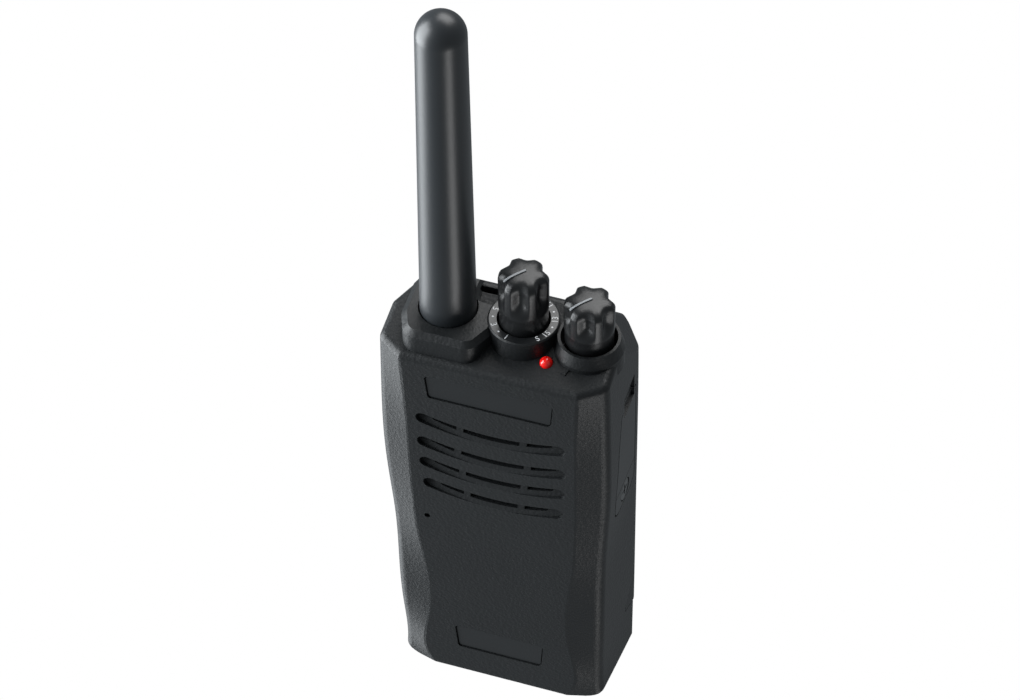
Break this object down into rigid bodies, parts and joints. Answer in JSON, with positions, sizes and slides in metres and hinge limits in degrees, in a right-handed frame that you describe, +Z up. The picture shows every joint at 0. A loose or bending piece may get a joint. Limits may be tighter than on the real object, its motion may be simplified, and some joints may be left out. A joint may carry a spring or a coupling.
{
  "type": "portable radio",
  "caption": "Handheld two-way radio with a stub antenna, ribbed channel and volume knobs on a sloping deck, louvred grille, side keys, jack cover and clip-on battery pack.",
  "frame": {"origin": "on the surface the radio stands on, under the middle of the case", "axes": "+Z up along the antenna, +X to the right as the grille is looked at, +Y to the back"},
  "size_m": [0.0551, 0.0328, 0.2101],
  "materials": {
    "case": "dark charcoal moulded plastic, fine spark-eroded grain",
    "plate": "satin dark plate",
    "ring": "black ring with white numbers",
    "cloth": "black dust mesh",
    "seal": "black silicone rubber",
    "steel": "tinned steel",
    "cone": "film speaker cone",
    "alloy": "die-cast light alloy",
    "board": "green solder resist",
    "screw": "dark plated steel",
    "lens": "clear red light guide",
    "plastic": "glass-filled black plastic",
    "nut": "nickel plated",
    "knob": "black satin-gloss moulded knob",
    "contact": "gold plated brass",
    "sheath": "soft satin rubber sheath",
    "key": "satin black key",
    "cover": "moulded cover",
    "pack": "textured black plastic",
    "cell": "aluminium cell can"
  },
  "bodies": {
    "radio": {"front_case": "case", "name_plate": "plate", "badge_plate": "plate", "dial_ring": "ring", "grille_cloth": "cloth", "speaker_gasket": "seal", "speaker_frame": "steel", "speaker_cone": "cone", "speaker_magnet": "steel", "microphone_boot": "seal", "microphone_capsule": "alloy", "chassis": "alloy", "main_board": "board", "shield_cans": "steel", "control_board": "board", "board_screws": "screw", "case_screws": "screw", "led_lens": "lens", "led_chip": "lens", "channel_encoder": "plastic", "channel_nut": "nut", "volume_pot": "plastic", "volume_nut": "nut", "shaft_seals": "seal", "antenna_ferrule": "contact", "antenna_contact": "contact", "antenna_sheath": "sheath", "antenna_coil": "contact", "antenna_core": "plastic", "key_switches": "plastic", "key_seal": "seal", "jack_block": "plastic", "jack_cover_tab": "cover", "jack_cover_screw": "screw", "terminal_block": "plastic", "terminal_springs": "contact", "latch_spring": "screw", "catch_pin": "screw"},
    "channel_control": {"channel_shaft": "plastic", "channel_knob": "knob"},
    "volume_control": {"volume_shaft": "plastic", "volume_knob": "knob"},
    "ptt_key": {"ptt_button": "key"},
    "upper_key": {"side_key_upper": "key"},
    "lower_key": {"side_key_lower": "key"},
    "jack_flap": {"jack_cover": "cover"},
    "battery_pack": {"battery_tub": "pack", "battery_back": "pack", "battery_contacts": "contact", "battery_cells": "cell", "battery_board": "board"},
    "latch": {"release_latch": "key"},
    "catch": {"safety_catch": "key"}
  },
  "joints": [
    {"name": "channel_turn", "type": "hinge", "parent": "radio", "child": "channel_control", "pos_m": [0.0042, -0.0028, 0.122], "axis": [0, 0, 1], "range_deg": [-280, 20]},
    {"name": "volume_turn", "type": "hinge", "parent": "radio", "child": "volume_control", "pos_m": [0.0194, -0.0025, 0.12], "axis": [0, 0, 1], "range_deg": [-250, 20]},
    {"name": "ptt_press", "type": "slide", "parent": "radio", "child": "ptt_key", "axis": [1, 0, 0], "range_m": [0, 0.001], "stiffness_N_per_m": 2500},
    {"name": "upper_key_press", "type": "slide", "parent": "radio", "child": "upper_key", "axis": [1, 0, 0], "range_m": [0, 0.0009], "stiffness_N_per_m": 2500},
    {"name": "lower_key_press", "type": "slide", "parent": "radio", "child": "lower_key", "axis": [1, 0, 0], "range_m": [0, 0.0009], "stiffness_N_per_m": 2500},
    {"name": "jack_cover_swing", "type": "hinge", "parent": "radio", "child": "jack_flap", "pos_m": [0.0274, 0.002, 0.07045], "axis": [0, 1, 0], "range_deg": [0, 100]},
    {"name": "battery_tilt", "type": "hinge", "parent": "radio", "child": "battery_pack", "pos_m": [0, 0.0169, 0.088], "axis": [1, 0, 0], "range_deg": [0, 22]},
    {"name": "latch_press", "type": "slide", "parent": "radio", "child": "latch", "axis": [0, 0, -1], "range_m": [0, 0.0016], "stiffness_N_per_m": 1500},
    {"name": "catch_swing", "type": "hinge", "parent": "radio", "child": "catch", "pos_m": [0, 0.0118, 0.0023], "axis": [-1, 0, 0], "range_deg": [0, 90]}
  ]
}
